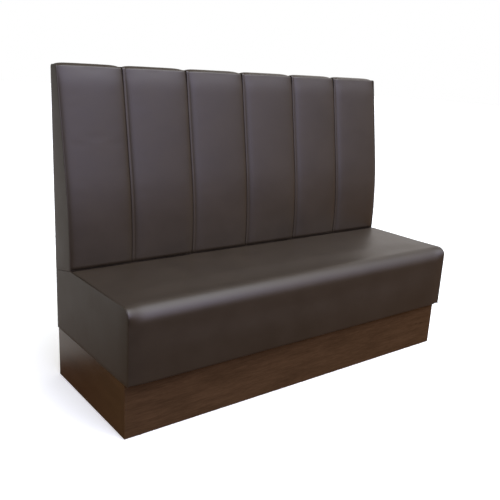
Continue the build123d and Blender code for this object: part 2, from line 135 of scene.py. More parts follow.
# The channels of the back, whose crowns are pinched along the top edge, and their welts.
CHANNELS = 6
CHANNEL_COLUMN_STEP = 0.0105
CHANNEL_ROW_STEP = 0.002
CHANNEL_UNDERSIDE = 0.008
CHANNEL_DROP = 0.0015
GROOVE_WIDTH = 0.005
CHANNEL_HELD_WIDTH = 0.004
CHANNEL_HELD_HEIGHT = 0.022
PINCH = 0.40
PINCH_BELOW = 0.038
PINCH_BEHIND = 0.012
WELT_ROW_STEP = 0.0035
WELT_PROFILE = ((-1, -0.0014), (-1.2, -0.0002), (-1.15, 0.0007), (-0.9, 0.0013), (-0.5, 0.0016))

# The side panels: the sloping seam between them, their rims and the roll at the seat's front.
SIDE_SEAM_REAR = 0.418
SIDE_SEAM_FRONT = 0.446
SEAT_SEAM_SAG = 0.003
SEAT_SEAM_EASE = 0.12
PANEL_INSET = 0.0031
PANEL_PITCH = 0.014
PANEL_RIM = 0.0012
ARC_STEP = 0.012
FRONT_ROLL = 0.0020
FRONT_ROLL_REACH = 0.07

# The outside cover, and what the foams are cut back by.
REAR_GRID_STEP = 0.02
REAR_UNDERSIDE = 0.003
REAR_FILL = 0.0007
SEAT_FOAM_CUT = 0.0045
BACK_FOAM_CUT = 0.0083

CLOTH_FRAMES = 20
SHARP_ANGLE = 0.7
FLAT_COSINE = 0.99
SAME_PLACE = 1e-6
PLACE_DIGITS = 6
SAME_DISTANCE = 1e-9

# The glows of the sky: the way to each one's middle, the cosines of the angle from there at
# which it starts and is full, and its colour.
GLOWS = (
    ((0.15, -0.83, 0.54), 0.81, 0.96, (1.90, 1.84, 2.82)),
    ((0.33, -0.40, 0.855), 0.83, 0.98, (2.80, 2.86, 3.05)),
    ((0.84, 0.46, 0.28), 0.88, 0.98, (1.02, 0.97, 0.96)),
)

Leg = namedtuple("Leg", "start length turn point heading")


class SideLine:
    """An outline seen from the side, of straight runs and bends, that a sheet is laid along."""

    def __init__(self, depth, height, outside, legs):
        self.outside = outside
        self.legs = {}
        start = 0.0
        point = Vector((depth, height))
        heading = math.pi / 2
        for name, (length, turn) in legs.items():
            leg = Leg(start, length, turn, point, heading)
            self.legs[name] = leg
            start += length
            point = self.along(leg, length)
            heading += turn

    @staticmethod
    def along(leg, distance):
        """The point a distance along one leg."""
        if leg.turn == 0:
            return leg.point + distance * Vector((math.cos(leg.heading), math.sin(leg.heading)))
        radius = leg.length / leg.turn
        centre = leg.point + radius * Vector((-math.sin(leg.heading), math.cos(leg.heading)))
        swing = leg.heading + distance / radius
        return centre + radius * Vector((math.sin(swing), -math.cos(swing)))

    def place(self, x, distance, outward):
        """The point of the bench at a width, a distance along the line and a height off it."""
        for leg in self.legs.values():
            if distance <= leg.start + leg.length + SAME_DISTANCE:
                break
        passed = distance - leg.start
        here = self.along(leg, passed)
        facing = leg.heading + leg.turn * passed / leg.length
        here += outward * self.outside * Vector((-math.sin(facing), math.cos(facing)))
        return Vector((x, rear_face - here.x, here.y))

    def rows(self, step, bend_step):
        """Distances from one step along the line to its end, closer together on the bends."""
        found = []
        for leg in self.legs.values():
            count = max(1, math.ceil(leg.length / step), math.ceil(abs(leg.turn) / bend_step))
            found += [leg.start + leg.length * (i + 1) / count for i in range(count)]
        return found

    def fine_rows(self, step, bend_step, middle, fine_step):
        """The same from the start of the line, and closer together around one distance."""
        coarse = [0.0, *self.rows(step, bend_step)]
        coarse = [distance for distance in coarse if abs(distance - middle) > FINE_REACH]
        count = round(2 * FINE_REACH / fine_step)
        fine = [middle - FINE_REACH + fine_step * i for i in range(1, count)]
        return sorted(coarse + fine)


def back_line():
    """The line of the backrest along its seams: foot, easing curve, rake, top and tail."""
    radius = EASE_LENGTH / math.tan(RAKE / 2)
    rest = math.pi / 2 - RAKE
    rake_length = math.hypot(BACK_DEPTH - BACK_TOP_DEPTH, BACK_HEIGHT - RAKE_CORNER_HEIGHT)
    return SideLine(BACK_DEPTH, FOOT, -1, {
        "foot": (RAKE_CORNER_HEIGHT - EASE_LENGTH - FOOT, 0),
        "ease": (radius * RAKE, RAKE),
        "rake": (rake_length - EASE_LENGTH - TOP_FRONT_CUT, 0),
        "top_front": (TOP_FRONT_ROUND * rest, rest),
        "top": (BACK_TOP_DEPTH - TOP_FRONT_CUT - TOP_REAR_ROUND, 0),
        "top_rear": (TOP_REAR_ROUND * math.pi / 2, math.pi / 2),
        "tail": (BACK_HEIGHT - TOP_REAR_ROUND - TAIL_HEIGHT, 0),
    })


def seat_line():
    """The line of the seat cover: crease, top, rounded front edge, front and hem."""
    rear_depth = rear_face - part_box("seat_cover")[1].y
    hem_end = plinth_front_depth + HEM_GAP
    quarter = -math.pi / 2
    return SideLine(rear_depth, FOOT, 1, {
        "crease": (SEAT_HEIGHT - SEAT_REAR_ROUND - FOOT, 0),
        "rear_edge": (-SEAT_REAR_ROUND * quarter, quarter),
        "top": (SEAT_FRONT_DEPTH - SEAT_FRONT_ROUND - SEAT_REAR_ROUND - rear_depth, 0),
        "front_edge": (-SEAT_FRONT_ROUND * quarter, quarter),
        "front": (SEAT_HEIGHT - SEAT_FRONT_ROUND - plinth_height - HEM_ROUND, 0),
        "hem_edge": (-HEM_ROUND * quarter, quarter),
        "hem": (SEAT_FRONT_DEPTH - HEM_ROUND - hem_end, 0),
    })


def fade(distance, reach):
    """A share that falls evenly from 1 at no distance to 0 at the reach."""
    return max(0.0, 1 - distance / reach)


def smooth(share):
    """The same share with a gentle start and end."""
    return share * share * (3 - 2 * share)


def seam_dip(edge):
    """How far a plain cover dips at a distance from its seam."""
    return SEAM_DIP * fade(edge, SEAM_DIP_WIDTH) ** 2


def foot_in(x, distance, outward, pinch=0.0):
    """A height off the line of the back, drawn in where the back meets the seat."""
    above = max(0.0, distance - CREASE)
    over = fade(above, BACK_FOOT_ROUND)
    outward += CHANNEL_UNDERSIDE - FOOT_LEAN * fade(above, FOOT_LEAN_REACH) ** 2
    rise = FOOT_SHARE + (1 - FOOT_SHARE - pinch) * math.sqrt(1 - over ** 2)
    return outward * rise - CHANNEL_UNDERSIDE


def corner_reach(over):
    """How far the tighter round of a corner reaches, as a share of the wide round's radius.

    Both rounds touch the same top and front, and the angle is the one over the wide round.
    """
    inner = 1 - SEAT_CORNER_ROUND / SEAT_FRONT_ROUND
    if inner < math.tan(over) < 1 / inner:
        both = math.sin(over) + math.cos(over)
        return inner * both + math.sqrt((1 - inner) ** 2 - inner ** 2 * (2 - both ** 2))
    return 1 / max(math.sin(over), math.cos(over))


def spread(low, high, step):
    """Widths from one seam to the next: close together at both seams, even in between."""
    margin = SEAM_COLUMNS[-1]
    count = math.ceil((high - low - 2 * margin) / step)
    inner = (high - low - 2 * margin) / count
    middle = [low + margin + inner * i for i in range(1, count)]
    near_low = [low + width for width in SEAM_COLUMNS]
    near_high = [high - width for width in reversed(SEAM_COLUMNS)]
    return [low, *near_low, *middle, *near_high, high]


def span(node):
    """The widths at which a piece of the frame starts and ends."""
    low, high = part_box(node)
    return low.x, high.x


def make_piece(bm, name):
    """One closed mesh with outward faces, smooth but for its sharp edges, made an object."""
    bmesh.ops.recalc_face_normals(bm, faces=bm.faces)
    bm.normal_update()
    for face in bm.faces:
        face.smooth = True
    for edge in bm.edges:
        edge.smooth = edge.is_manifold and edge.calc_face_angle() < SHARP_ANGLE
    mesh = bpy.data.meshes.new(name)
    bm.to_mesh(mesh)
    bm.free()
    piece = bpy.data.objects.new(name, mesh)
    bpy.context.scene.collection.objects.link(piece)
    return piece


def laid_sheet(name, line, section, underside, rows,
               held=lambda x, distance: False, shape=lambda x, distance, outward: outward):
    """A grid laid along a line, closed by an underside and at its ends, with its held points."""
    section = [(section[0][0], -underside), *section, (section[-1][0], -underside)]
    columns = len(section) - 1
    ends = len(rows) - 1
    bm = bmesh.new()
    bmesh.ops.create_grid(bm, x_segments=columns, y_segments=ends, size=1)
    rims = [e for e in bm.edges if e.is_boundary and e.verts[0].co.x == e.verts[1].co.x]
    pinned = []
    for vert in bm.verts:
        column = round((vert.co.x + 1) / 2 * columns)
        row = round((vert.co.y + 1) / 2 * ends)
        x, outward = section[column]
        if held(x, rows[row]) or column in (0, columns) or row in (0, ends):
            pinned.append(vert.index)
        if 0 < column < columns:
            outward = shape(x, rows[row], outward)
        vert.co = line.place(x, rows[row], outward)
    bmesh.ops.bridge_loops(bm, edges=rims)
    bmesh.ops.holes_fill(bm, edges=[e for e in bm.edges if e.is_boundary], sides=0)
    return make_piece(bm, name), pinned


def stuff(piece, pinned, pressure, most, slack, freedom=lambda place: 1.0):
    """Fills a cover by cloth simulation: no point sinks, and none moves further than the most."""
    start = [v.co.copy() for v in piece.data.vertices]
    outward = [v.normal.copy() for v in piece.data.vertices]
    piece.vertex_groups.new(name="seams").add(pinned, 1.0, "REPLACE")
    cloth = piece.modifiers.new("stuffing", "CLOTH")
    settings = cloth.settings
    settings.quality = 5
    settings.mass = 0.4
    settings.vertex_group_mass = "seams"
    settings.tension_stiffness = 25
    settings.compression_stiffness = 15
    settings.shear_stiffness = 8
    settings.bending_stiffness = 1.5
    settings.air_damping = 4
    settings.shrink_min = -slack
    settings.use_pressure = True
    settings.uniform_pressure_force = pressure
    settings.effector_weights.gravity = 0
    cloth.collision_settings.use_collision = False
    cloth.point_cache.frame_start = 1
    cloth.point_cache.frame_end = CLOTH_FRAMES
    for number in range(1, CLOTH_FRAMES + 1):
        bpy.context.scene.frame_set(number)
    shaped = piece.evaluated_get(bpy.context.evaluated_depsgraph_get())
    moves = [v.co - place for v, place in zip(shaped.data.vertices, start)]
    moves = [move - out * min(0.0, move.dot(out)) for move, out in zip(moves, outward)]
    moves = [move * freedom(place) for move, place in zip(moves, start)]
    furthest = max(move.length for move in moves)
    piece.modifiers.remove(cloth)
    piece.vertex_groups.clear()
    share = min(1.0, most / furthest)
    for vert, place, move in zip(piece.data.vertices, start, moves):
        vert.co = place + move * share
    bpy.context.scene.frame_set(1)
    print(f"{piece.name}: {len(start)} points, moved up to {furthest * 1000:.1f} mm, kept {share:.2f}")


def keep_forward(piece, gap):
    """Holds every point of a piece a gap or more in front of the rear face."""
    for vert in piece.data.vertices:
        vert.co.y = min(vert.co.y, rear_face - gap)


def dress(piece, material, slot, *nodes):
    """Gives a new piece its finish and its body, and hides the frame nodes that it stands for."""
    piece.data.materials.clear()
    piece.data.materials.append(material)
    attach(piece, "root")
    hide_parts(*nodes)
    return piece


class Nodes:
    """Short calls for the nodes of one material or world."""

    def __init__(self, owner):
        owner.use_nodes = True
        self.tree = owner.node_tree
        self.tree.nodes.clear()

    def add(self, kind, inputs=None, **settings):
        """A node with its settings, whose inputs are numbers, colours or other sockets."""
        made = self.tree.nodes.new(kind)
        for key, value in settings.items():
            setattr(made, key, value)
        for key, value in (inputs or {}).items():
            if isinstance(value, bpy.types.NodeSocket):
                self.tree.links.new(value, made.inputs[key])
            else:
                made.inputs[key].default_value = value
        return made

    def place(self, scale=(1, 1, 1)):
        """Object coordinates, scaled."""
        here = self.add("ShaderNodeTexCoord").outputs["Object"]
        return self.add("ShaderNodeMapping", {"Vector": here, "Scale": scale}).outputs[0]

    def noise(self, where, scale, detail, rough=0.5):
        """Soft noise from 0 to 1."""
        inputs = {"Vector": where, "Scale": scale, "Detail": detail, "Roughness": rough}
        return self.add("ShaderNodeTexNoise", inputs).outputs["Fac"]

    def fit(self, value, low, high, new_low=0.0, new_high=1.0, kind="LINEAR"):
        """A value brought from one range to another."""
        old_range = {"From Min": low, "From Max": high}
        new_range = {"To Min": new_low, "To Max": new_high}
        inputs = {"Value": value, **old_range, **new_range}
        return self.add("ShaderNodeMapRange", inputs, interpolation_type=kind).outputs[0]

    def sum(self, first, second, share):
        """One value plus a share of another."""
        inputs = {0: second, 1: share, 2: first}
        return self.add("ShaderNodeMath", inputs, operation="MULTIPLY_ADD").outputs[0]

    def mix(self, kind, share, first, second):
        """Two colours, mixed, added or multiplied."""
        inputs = {0: share, 6: first, 7: second}
        return self.add("ShaderNodeMix", inputs, data_type="RGBA", blend_type=kind).outputs[2]

    def blend(self, share, dark, light):
        """A colour between two."""
        return self.mix("MIX", share, (*dark, 1), (*light, 1))

    def tone(self, share, colour, dark, light):
        """A colour between two strengths of itself."""
        return self.blend(share, [c * dark for c in colour], [c * light for c in colour])

    def surface(self, inputs, height=None, depth=0.0):
        """The shader and its output, with a bump of a real depth."""
        if height is not None:
            bump = {"Height": height, "Distance": depth, "Strength": 1.0}
            inputs["Normal"] = self.add("ShaderNodeBump", bump).outputs[0]
        shader = self.add("ShaderNodeBsdfPrincipled", inputs)
        self.add("ShaderNodeOutputMaterial", {"Surface": shader.outputs[0]})


def new_finish(name):
    """An empty material and its nodes."""
    material = bpy.data.materials.new(name)
    return material, Nodes(material)


def leather_finish(finish):
    """Semi-matt coated upholstery leather with a fine pebble grain."""
    material, nodes = new_finish("booth_leather")
    here = nodes.place()
    pebble = nodes.add("ShaderNodeTexVoronoi", {"Vector": here, "Scale": 1 / finish.grain_size})
    grain = nodes.fit(pebble.outputs["Distance"], 0.0, 0.8)
    fold = nodes.noise(here, scale=0.35 / finish.grain_size, detail=2.0)
    cloud = nodes.noise(here, scale=9.0, detail=4.0, rough=0.6)
    shade = nodes.fit(nodes.sum(cloud, grain, 0.12), 0.3, 0.85)
    rough = finish.leather_roughness
    nodes.surface({
        "Base Color": nodes.tone(shade, finish.leather_colour, 0.86, 1.14),
        "Roughness": nodes.fit(cloud, 0.2, 0.8, rough - 0.03, rough + 0.05),
        "Specular IOR Level": 0.5,
    }, height=nodes.sum(grain, fold, 0.8), depth=0.00005)
    return material


def laminate_finish(finish, name, axis):
    """Dark walnut laminate, with its grain along an axis, fine pores and a satin face."""
    material, nodes = new_finish(name)
    along = nodes.place([2.6 if i == axis else 22.0 for i in range(3)])
    fine = nodes.place([30.0 if i == axis else 300.0 for i in range(3)])
    figure = nodes.noise(along, scale=1.6, detail=6.0, rough=0.6)
    streak = nodes.noise(fine, scale=1.0, detail=4.0, rough=0.65)
    shade = nodes.fit(nodes.sum(figure, streak, 0.9), 0.6, 1.3)
    rough = finish.laminate_roughness
    nodes.surface({
        "Base Color": nodes.tone(shade, finish.laminate_colour, 0.62, 1.42),
        "Roughness": nodes.fit(streak, 0.3, 0.7, rough - 0.03, rough + 0.05),
    }, height=streak, depth=0.00006)
    return material


def board_finish(name, dark, light, stretch, figure_scale, pore_scale, rough):
    """Bare wood, board, foam or plastic: one stretched noise for its figure, one for its pores."""
    material, nodes = new_finish(name)
    figure = nodes.noise(nodes.place(stretch), scale=figure_scale, detail=5.0, rough=0.6)
    pores = nodes.noise(nodes.place(), scale=pore_scale, detail=2.0)
    shade = nodes.fit(nodes.sum(figure, pores, 0.25), 0.35, 0.85)
    nodes.surface({
        "Base Color": nodes.blend(shade, dark, light),
        "Roughness": nodes.fit(figure, 0.3, 0.7, rough - 0.06, rough + 0.06),
    }, height=pores, depth=0.0003)
    return material


def steel_finish():
    """Bright zinc plating with faint clouding."""
    material, nodes = new_finish("zinc_plate")
    cloud = nodes.noise(nodes.place(), scale=300.0, detail=4.0)
    nodes.surface({
        "Base Color": nodes.blend(cloud, (0.50, 0.51, 0.52), (0.68, 0.69, 0.70)),
        "Metallic": 1.0,
        "Roughness": nodes.fit(cloud, 0.3, 0.7, 0.28, 0.42),
    }, height=cloud, depth=0.00003)
    return material


class BoothSizes(bpy.types.PropertyGroup):
    """Sizes of the channels and welts, and how far the fillings push the covers out."""
    channel_crown: bpy.props.FloatProperty(
        name="Channel crown", description="Height of a channel over its seams before it is filled",
        default=0.0080, unit="LENGTH")
    channel_shoulder: bpy.props.FloatProperty(
        name="Channel shoulder", description="Width over which a channel rises from its seam",
        default=0.0125, unit="LENGTH")
    groove_depth: bpy.props.FloatProperty(
        name="Groove depth", description="Depth of the groove on each side of a welt",
        default=0.0002, unit="LENGTH")
    channel_fill: bpy.props.FloatProperty(
        name="Channel filling", description="How far the filling may push a channel out",
        default=0.0024, unit="LENGTH")
    seat_fill: bpy.props.FloatProperty(
        name="Seat filling", description="How far the filling may push the seat cover out",
        default=0.0085, unit="LENGTH")
    side_fill: bpy.props.FloatProperty(
        name="Side filling", description="How far the wadding may push a side panel out",
        default=0.0012, unit="LENGTH")
    welt_half: bpy.props.FloatProperty(
        name="Welt half width", description="Half the width of a welt",
        default=0.0045, unit="LENGTH")


class BoothFinish(bpy.types.PropertyGroup):
    """Colours and roughness of the covers and of the plinth."""
    leather_colour: bpy.props.FloatVectorProperty(
        name="Leather colour", description="Colour of the covers", subtype="COLOR",
        default=(0.0298, 0.0215, 0.0118), min=0, max=1)
    leather_roughness: bpy.props.FloatProperty(
        name="Leather roughness", description="Roughness of the covers", default=0.43, min=0, max=1)
    grain_size: bpy.props.FloatProperty(
        name="Leather grain", description="Size of a pebble of the grain", default=0.0011, unit="LENGTH")
    laminate_colour: bpy.props.FloatVectorProperty(
        name="Laminate colour", description="Colour of the plinth", subtype="COLOR",
        default=(0.0600, 0.0350, 0.0170), min=0, max=1)
    laminate_roughness: bpy.props.FloatProperty(
        name="Laminate roughness", description="Roughness of the plinth", default=0.11, min=0, max=1)


class BoothStage(bpy.types.PropertyGroup):
    """The floor, the overhead light and the lens."""
    floor_colour: bpy.props.FloatVectorProperty(
        name="Floor colour", description="Colour of the plain floor", subtype="COLOR",
        default=(0.935, 0.98, 0.935), min=0, max=1)
    floor_side: bpy.props.FloatProperty(
        name="Floor side", description="Length of each side of the floor", default=60.0, unit="LENGTH")
    floor_glow: bpy.props.FloatProperty(
        name="Floor glow", description="Light that the floor gives of itself, like a light table",
        default=0.4)
    lens: bpy.props.FloatProperty(
        name="Focal length", description="Focal length of the camera in millimetres", default=46.23)
    ceiling_light: bpy.props.FloatProperty(
        name="Ceiling light", description="Power of the soft light overhead, in watts", default=20.0)


def sizes():
    """The sizes that are set in the scene."""
    return bpy.context.scene.booth_sizes


def leather():
    """The leather of all the covers, made once."""
    return bpy.data.materials.get("booth_leather") or leather_finish(bpy.context.scene.booth_finish)


class BOOTH_OT_seat_cover(bpy.types.Operator):
    """Makes the seat cover, from the crease over the rounded front edge to the hem."""
    bl_idname = "booth.seat_cover"
    bl_label = "Seat cover"

    def execute(self, context):
        line = seat_line()
        front_edge = line.legs["front_edge"]
        edge_depth = SEAT_FRONT_DEPTH - SEAT_FRONT_ROUND
        edge_height = SEAT_HEIGHT - SEAT_FRONT_ROUND

        def held(x, distance):
            in_crease = distance < line.legs["rear_edge"].start
            in_hem = distance > line.legs["hem_edge"].start
            return frame_half - abs(x) < SEAT_HELD_WIDTH or in_crease or in_hem

        def shape(x, distance, outward):
            edge = frame_half - abs(x)
            over = (distance - front_edge.start) / front_edge.length * math.pi / 2
            if 0 < over < math.pi / 2:
                near = smooth(fade(edge, CORNER_WIDTH))
                outward += (corner_reach(over) - 1) * SEAT_FRONT_ROUND * near
            drawn = min(1.0, max(0.0, over - DRAWN_IN_START) * DRAWN_IN_RATE)
            return outward - DRAWN_IN * drawn * fade(edge, DRAWN_IN_WIDTH) ** 2

        def freedom(place):
            off = max(edge_depth - rear_face + place.y, edge_height - place.z, 0.0)
            return smooth(min(1.0, off / SEAT_EASE))

        widths = spread(-frame_half, frame_half, SEAT_COLUMN_STEP)
        section = [(x, -seam_dip(frame_half - abs(x))) for x in widths]
        rows = line.rows(ROW_STEP, SEAT_BEND_STEP)
        piece, pinned = laid_sheet("seat_cushion_cover", line, section, SEAT_UNDERSIDE, rows, held, shape)
        stuff(piece, pinned, pressure=6.0, most=sizes().seat_fill, slack=0.004, freedom=freedom)
        dress(piece, leather(), "leather_cover", "seat_cover")
        return {"FINISHED"}


class BOOTH_OT_back_channels(bpy.types.Operator):
    """Makes the six stuffed channels of the back, each over the top and down to its tail."""
    bl_idname = "booth.back_channels"
    bl_label = "Back channels"

    def execute(self, context):
        line = back_line()
        rows = line.fine_rows(ROW_STEP, BACK_BEND_STEP, SEAT_LEVEL, CHANNEL_ROW_STEP)
        top_front = line.legs["top_front"]
        top_edge = top_front.start + top_front.length / 2

        def shape(x, distance, outward):
            reach = PINCH_BELOW if distance < top_edge else PINCH_BEHIND
            pinch = PINCH * math.exp(-((distance - top_edge) / reach) ** 2)
            return foot_in(x, distance, outward, pinch)

        for number in range(1, CHANNELS + 1):
            node = f"back_channel_{number}"
            low, high = span(node)

            def held(x, distance):
                in_foot = distance < CREASE + CHANNEL_HELD_HEIGHT
                behind = distance > line.legs["top_rear"].start
                return min(x - low, high - x) < CHANNEL_HELD_WIDTH or in_foot or behind

            piece, pinned = laid_sheet(f"channel_{number}", line, self.section(number, low, high),
                                       CHANNEL_UNDERSIDE, rows, held, shape)
            stuff(piece, pinned, pressure=5.0, most=sizes().channel_fill, slack=0.004)
            keep_forward(piece, 2 * SOFT_GAP)
            dress(piece, leather(), "leather_cover", node)
        return {"FINISHED"}

    def section(self, number, low, high):
        """The crowned section of a channel, with a groove beside each seam that has a welt."""
        crown = sizes().channel_crown
        shoulder = sizes().channel_shoulder
        low_groove = 0 if number == 1 else sizes().groove_depth
        high_groove = 0 if number == CHANNELS else sizes().groove_depth
        section = []
        for x in spread(low, high, CHANNEL_COLUMN_STEP):
            edge = min(x - low, high - x)
            groove = low_groove if x - low < high - x else high_groove
            fall = CHANNEL_DROP + groove * math.exp(-edge / GROOVE_WIDTH)
            section.append((x, crown * (1 - math.exp(-edge / shoulder)) - fall))
        return section


class BOOTH_OT_back_welts(bpy.types.Operator):
    """Makes the welts that lie in the seams between the channels."""
    bl_idname = "booth.back_welts"
    bl_label = "Back welts"

    def execute(self, context):
        line = back_line()
        rows = line.fine_rows(ROW_STEP, BACK_BEND_STEP, SEAT_LEVEL, WELT_ROW_STEP)
        half = sizes().welt_half
        profile = [*WELT_PROFILE, *((-share, rise) for share, rise in reversed(WELT_PROFILE))]
        for number in range(1, CHANNELS):
            node = f"back_welt_{number}"
            middle = sum(span(node)) / 2
            section = [(middle + half * share, rise) for share, rise in profile]
            piece, pinned = laid_sheet(f"welt_{number}", line, section, CHANNEL_UNDERSIDE, rows,
                                       shape=foot_in)
            keep_forward(piece, SOFT_GAP)
            dress(piece, leather(), "leather_cover", node)
        return {"FINISHED"}


def side_outline(bm, corners):
    """A flat face in the side plane from (depth, height, cut) corners, each rounded in turn."""
    verts = [bm.verts.new((0, rear_face - depth, height)) for depth, height, cut in corners]
    bm.faces.new(verts)
    for vert, corner in zip(verts, corners):
        cut = corner[2]
        if cut:
            segments = max(4, math.ceil(cut / ARC_STEP))
            bmesh.ops.bevel(bm, geom=[vert], offset=cut, segments=segments, profile=0.5,
                            affect="VERTICES", clamp_overlap=False, material=-1)


def settle(bm):
    """Puts the points, edges and faces of a cut mesh in an order that is the same each run."""
    places = sorted(bm.verts, key=lambda v: [round(c, PLACE_DIGITS) for c in v.co])
    for number, vert in enumerate(places):
        vert.index = number
    bm.verts.sort()
    for parts in (bm.edges, bm.faces):
        settled = sorted(parts, key=lambda part: sorted(v.index for v in part.verts))
        for number, part in enumerate(settled):
            part.index = number
        parts.sort()


def padded_panel(name, corners, inside, outside):
    """A side panel: its outline, raised, rolled round its outer rim and cut into a grid."""
    bm = bmesh.new()
    side_outline(bm, corners)
    raised = bmesh.ops.extrude_face_region(bm, geom=bm.faces[:])
    moved = [g for g in raised["geom"] if isinstance(g, bmesh.types.BMVert)]
    bmesh.ops.translate(bm, verts=bm.verts, vec=(inside, 0, 0))
    bmesh.ops.translate(bm, verts=moved, vec=(outside - inside, 0, 0))
    rim = [e for e in bm.edges if all(abs(v.co.x - outside) < SAME_PLACE for v in e.verts)]
    bmesh.ops.bevel(bm, geom=rim, offset=PANEL_RIM, segments=4, profile=0.5, affect="EDGES",
                    clamp_overlap=False, material=-1)
    bmesh.ops.remove_doubles(bm, verts=bm.verts, dist=0.00005)
    for axis in (1, 2):
        low = min(v.co[axis] for v in bm.verts)
        high = max(v.co[axis] for v in bm.verts)
        count = round((high - low) / PANEL_PITCH)
        normal = Vector((0, 0, 0))
        normal[axis] = 1
        for i in range(1, count):
            bmesh.ops.bisect_plane(bm, geom=bm.verts[:] + bm.edges[:] + bm.faces[:], dist=0.0001,
                                   plane_co=normal * (low + (high - low) * i / count), plane_no=normal)
    settle(bm)
    bm.normal_update()
    pinned = [v.index for v in bm.verts if abs(v.co.x - outside) > SAME_PLACE or any(
        abs(f.normal.x) < FLAT_COSINE for f in v.link_faces)]
    return make_piece(bm, name), pinned


class BOOTH_OT_side_covers(bpy.types.Operator):
    """Makes the padded side panels of the seat and of the back, right and left."""
    bl_idname = "booth.side_covers"
    bl_label = "Side covers"

    def execute(self, context):
        front = SEAT_FRONT_DEPTH - PANEL_INSET
        seat = [
            (0, plinth_height, 0), (0, SIDE_SEAM_REAR, 0), (BACK_DEPTH, SIDE_SEAM_FRONT, 0),
            ((BACK_DEPTH + front) / 2, SEAT_HEIGHT - SEAT_SEAM_SAG, SEAT_SEAM_EASE),
            (front, SEAT_HEIGHT, SEAT_CORNER_ROUND), (front, plinth_height, 0),
        ]
        back = [
            (0, SIDE_SEAM_REAR + SOFT_GAP, 0), (0, BACK_HEIGHT, TOP_REAR_ROUND),
            (BACK_TOP_DEPTH, BACK_HEIGHT, TOP_FRONT_CUT), (BACK_DEPTH, RAKE_CORNER_HEIGHT, EASE_LENGTH),
            (BACK_DEPTH, SIDE_SEAM_FRONT + SOFT_GAP, 0),
        ]
        for part, corners in (("seat", seat), ("back", back)):
            for side, word in ((-1, "left"), (1, "right")):
                piece, pinned = padded_panel(f"{part}_side_panel_{word}", corners,
                                             side * cover_half, side * outer_half)
                stuff(piece, pinned, pressure=3.0, most=sizes().side_fill, slack=0.002)
                if part == "seat":
                    self.roll_front(piece, side, rear_face - front)
                dress(piece, leather(), "leather_cover", f"{part}_side_cover_{word}")
        return {"FINISHED"}

    def roll_front(self, piece, side, front_face):
        """Rolls the outer face of a seat panel in toward its front edge."""
        for vert in piece.data.vertices:
            near = fade(vert.co.y - front_face, FRONT_ROLL_REACH)
            if abs(vert.co.x) > (cover_half + outer_half) / 2:
                vert.co.x -= side * FRONT_ROLL * near ** 2


class BOOTH_OT_outside_cover(bpy.types.Operator):
    """Makes the cover that is drawn over the whole rear."""
    bl_idname = "booth.outside_cover"
    bl_label = "Outside cover"

    def execute(self, context):
        low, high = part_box("back_outside_cover")
        line = SideLine(0, low.z, 1, {"rise": (high.z - low.z, 0)})
        widths = spread(low.x, high.x, REAR_GRID_STEP)
        section = [(x, -REAR_FILL - seam_dip(high.x - abs(x))) for x in widths]
        rows = line.rows(REAR_GRID_STEP, SEAT_BEND_STEP)

        def held(x, distance):
            return high.x - abs(x) < SEAM_DIP_WIDTH

        piece, pinned = laid_sheet("rear_cover_sheet", line, section, REAR_UNDERSIDE, rows, held)
        stuff(piece, pinned, pressure=1.0, most=REAR_FILL, slack=0.004)
        dress(piece, leather(), "leather_cover", "back_outside_cover")
        return {"FINISHED"}


class BOOTH_OT_fillings(bpy.types.Operator):
    """Makes the foams under the covers, each cut back from the CAD solid that it stands for."""
    bl_idname = "booth.fillings"
    bl_label = "Foam fillings"

    def execute(self, context):
        foam = board_finish(
            "cut_foam", dark=(0.62, 0.52, 0.33), light=(0.80, 0.71, 0.50), stretch=(1, 1, 1),
            figure_scale=40.0, pore_scale=900.0, rough=0.9)
        seat_front = SEAT_FRONT_DEPTH - SEAT_FOAM_CUT
        foams = (
            ("seat_foam", "seat_filling", SEAT_HEIGHT - SEAT_FOAM_CUT, seat_front),
            ("seat_front_pad", "seat_front_filling", math.inf, seat_front),
            ("back_foam_sheet", "back_filling_sheet", BACK_HEIGHT - BACK_FOAM_CUT, math.inf),
        )
        for node, name, top, front in foams:
            bm = bmesh.new()
            bm.from_mesh(frame["nodes"][node].data)
            bmesh.ops.remove_doubles(bm, verts=bm.verts, dist=0.00002)
            self.cut_back(bm, top, front)
            bmesh.ops.dissolve_limit(bm, angle_limit=0.01, verts=bm.verts, edges=bm.edges)
            piece = make_piece(bm, name)
            dress(piece, foam, "upholstery_foam", node)
        return {"FINISHED"}

    def cut_back(self, bm, top, front):
        """Keeps a foam under its top and behind its front and the round of the seat's edge."""
        reach = SEAT_FRONT_ROUND - SEAT_FOAM_CUT
        centre = Vector((0, rear_face - SEAT_FRONT_DEPTH + SEAT_FRONT_ROUND, SEAT_HEIGHT - SEAT_FRONT_ROUND))
        for vert in bm.verts:
            vert.co.z = min(vert.co.z, top)
            vert.co.y = max(vert.co.y, rear_face - front)
            off = Vector((0, vert.co.y, vert.co.z)) - centre
            if off.y < 0 < off.z and off.length > reach:
                vert.co -= off * (1 - reach / off.length)


